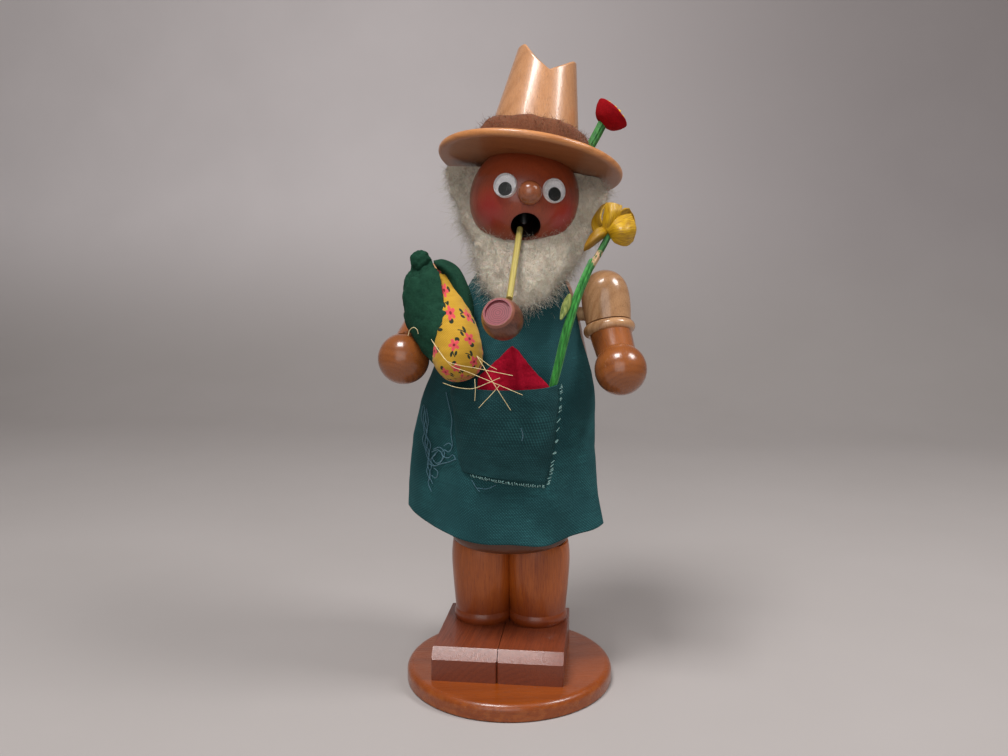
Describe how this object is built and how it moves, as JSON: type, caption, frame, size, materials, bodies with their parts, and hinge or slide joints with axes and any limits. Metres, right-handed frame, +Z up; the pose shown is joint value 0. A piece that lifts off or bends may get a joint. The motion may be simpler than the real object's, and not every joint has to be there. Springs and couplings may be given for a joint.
{
  "type": "german incense smoker figure",
  "caption": "Turned wooden gardener figure that smokes an incense cone inside its lift-off torso and lets the smoke out of its mouth.",
  "frame": {"origin": "middle of the underside of the round base", "axes": "+Z up; the figure faces -Y and its own left hand is at +X"},
  "size_m": [0.1112, 0.1035, 0.278],
  "materials": {
    "base_wood": "gloss",
    "shoe_wood": "satin",
    "leg_wood": "satin",
    "dowel_wood": "matte",
    "hip_wood": "satin",
    "tray_metal": "satin",
    "tack_metal": "satin",
    "torso_wood": "satin",
    "face_wood": "gloss",
    "nose_wood": "gloss",
    "eye_white": "gloss",
    "eye_lens": "gloss",
    "pupil_black": "gloss",
    "brim_wood": "satin",
    "crown_wood": "satin",
    "band_felt": "matte",
    "red_felt": "matte",
    "yellow_felt": "matte",
    "green_cord": "matte",
    "arm_wood": "satin",
    "hand_wood": "satin",
    "apron_cloth": "matte",
    "pocket_cloth": "matte",
    "kerchief_felt": "matte",
    "bowl_wood": "satin",
    "reed": "satin",
    "leaf_green": "satin",
    "stem_green": "satin",
    "shaving_yellow": "satin",
    "corn_cloth": "matte",
    "husk_felt": "matte",
    "straw": "matte",
    "wool": "matte"
  },
  "bodies": {
    "lower_body": {"base_disc": "base_wood", "right_shoe": "shoe_wood", "left_shoe": "shoe_wood", "right_leg": "leg_wood", "left_leg": "leg_wood", "leg_dowels": "dowel_wood", "hip_block": "hip_wood", "incense_tray": "tray_metal", "tray_tack": "tack_metal"},
    "upper_body": {"torso": "torso_wood", "head": "face_wood", "nose": "nose_wood", "right_eye_cup": "eye_white", "left_eye_cup": "eye_white", "right_eye_dome": "eye_lens", "left_eye_dome": "eye_lens", "hat_brim": "brim_wood", "hat_crown": "crown_wood", "hat_band": "band_felt", "hat_flower_stem": "green_cord", "hat_flower_head": "red_felt", "hat_flower_centre": "yellow_felt", "right_upper_arm": "arm_wood", "left_upper_arm": "arm_wood", "right_elbow_ring": "arm_wood", "left_elbow_ring": "arm_wood", "right_forearm": "hand_wood", "left_forearm": "hand_wood", "shoulder_dowels": "dowel_wood", "elbow_dowels": "dowel_wood", "apron": "apron_cloth", "apron_pocket": "pocket_cloth", "kerchief": "kerchief_felt", "pipe_bowl": "bowl_wood", "pipe_stem": "reed", "flower_leaf": "leaf_green", "flower_stem": "stem_green", "flower_head": "shaving_yellow", "side_leaf": "leaf_green", "corn": "corn_cloth", "corn_husk_outer": "husk_felt", "corn_husk_inner": "husk_felt", "corn_silk": "straw", "beard": "wool", "hair": "wool"},
    "right_pupil": {"right_pupil": "pupil_black"},
    "left_pupil": {"left_pupil": "pupil_black"}
  },
  "joints": [
    {"name": "torso_lift", "type": "slide", "parent": "lower_body", "child": "upper_body", "axis": [0.0419, 0, 0.9991], "range_m": [0, 0.062]},
    {"name": "right_pupil_roll", "type": "hinge", "parent": "upper_body", "child": "right_pupil", "pos_m": [-0.00057, -0.00777, 0.21289], "axis": [-0.2403, -0.9515, 0.192], "continuous": true},
    {"name": "left_pupil_roll", "type": "hinge", "parent": "upper_body", "child": "left_pupil", "pos_m": [0.01842, -0.00454, 0.21097], "axis": [0.5711, -0.8136, 0.1096], "continuous": true}
  ]
}
